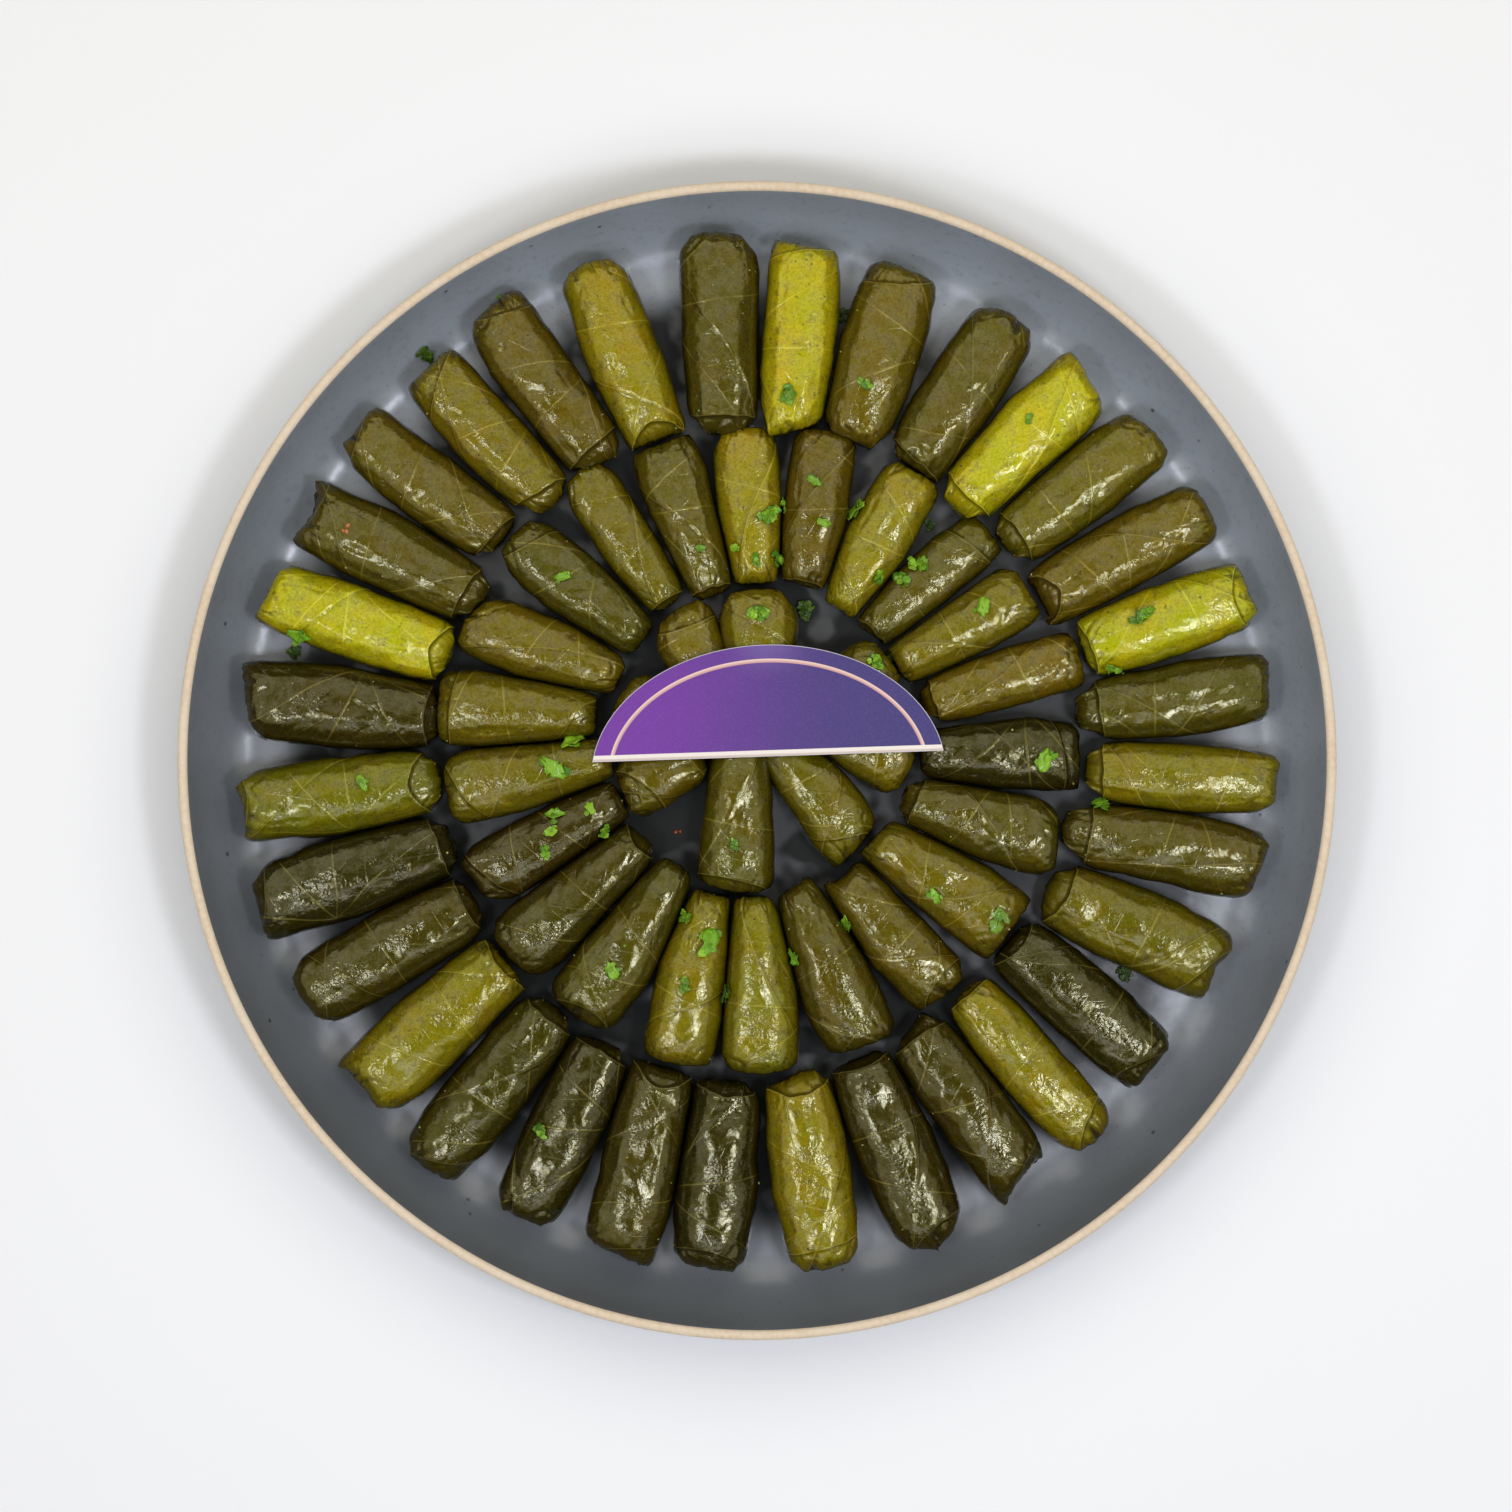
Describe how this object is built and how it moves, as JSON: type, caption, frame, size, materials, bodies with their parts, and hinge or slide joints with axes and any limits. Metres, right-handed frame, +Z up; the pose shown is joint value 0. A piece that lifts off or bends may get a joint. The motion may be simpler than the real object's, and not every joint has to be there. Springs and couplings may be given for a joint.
{
  "type": "platter of stuffed vine leaves",
  "caption": "Round stoneware platter of stuffed vine leaf rolls laid in rings round the centre, with a half-round card on top and chopped parsley.",
  "frame": {"origin": "under the plate's centre, at the level its foot ring stands on", "axes": "+Z up; +Y towards the top of the picture, the side that the card's round edge faces; +X to its right"},
  "size_m": [0.348, 0.348, 0.029],
  "materials": {
    "glazed_stoneware": "satin slate-blue glaze with fine dark specks, bare sand-coloured clay at the rim",
    "leaf_bright": "wet, oily yellow-green vine leaf with pale veins",
    "leaf_yellow": "wet, oily olive-yellow vine leaf with pale veins",
    "leaf_olive": "wet, oily olive vine leaf with pale veins",
    "leaf_brown": "wet, oily olive-brown vine leaf with pale veins",
    "leaf_dark": "wet, oily dark grey-green vine leaf with pale veins",
    "card": "printed violet card with a pale line and a cream strip, no lettering"
  },
  "bodies": {
    "root": {"plate": "glazed_stoneware", "card": "card", "outer_01": "leaf_bright", "outer_02": "leaf_brown", "outer_03": "leaf_dark", "outer_04": "leaf_bright", "outer_05": "leaf_olive", "outer_06": "leaf_brown", "outer_07": "leaf_bright", "outer_08": "leaf_dark", "outer_09": "leaf_yellow", "outer_10": "leaf_dark", "outer_11": "leaf_olive", "outer_12": "leaf_dark", "outer_13": "leaf_yellow", "outer_14": "leaf_olive", "outer_15": "leaf_brown", "outer_16": "leaf_yellow", "outer_17": "leaf_dark", "outer_18": "leaf_olive", "outer_19": "leaf_dark", "outer_20": "leaf_olive", "outer_21": "leaf_yellow", "outer_22": "leaf_olive", "outer_23": "leaf_dark", "outer_24": "leaf_bright", "outer_25": "leaf_brown", "outer_26": "leaf_bright", "outer_27": "leaf_dark", "outer_28": "leaf_brown", "outer_29": "leaf_olive", "outer_30": "leaf_brown", "outer_31": "leaf_yellow", "outer_32": "leaf_dark", "middle_01": "leaf_yellow", "middle_02": "leaf_brown", "middle_03": "leaf_yellow", "middle_04": "leaf_dark", "middle_05": "leaf_olive", "middle_06": "leaf_brown", "middle_07": "leaf_dark", "middle_08": "leaf_dark", "middle_09": "leaf_olive", "middle_10": "leaf_brown", "middle_11": "leaf_dark", "middle_12": "leaf_yellow", "middle_13": "leaf_yellow", "middle_14": "leaf_dark", "middle_15": "leaf_olive", "middle_16": "leaf_brown", "middle_17": "leaf_olive", "middle_18": "leaf_olive", "middle_19": "leaf_olive", "middle_20": "leaf_dark", "middle_21": "leaf_olive", "middle_22": "leaf_dark", "centre_top": "leaf_olive", "centre_left": "leaf_olive", "centre_bottom": "leaf_dark", "centre_right": "leaf_olive"}
  },
  "joints": []
}
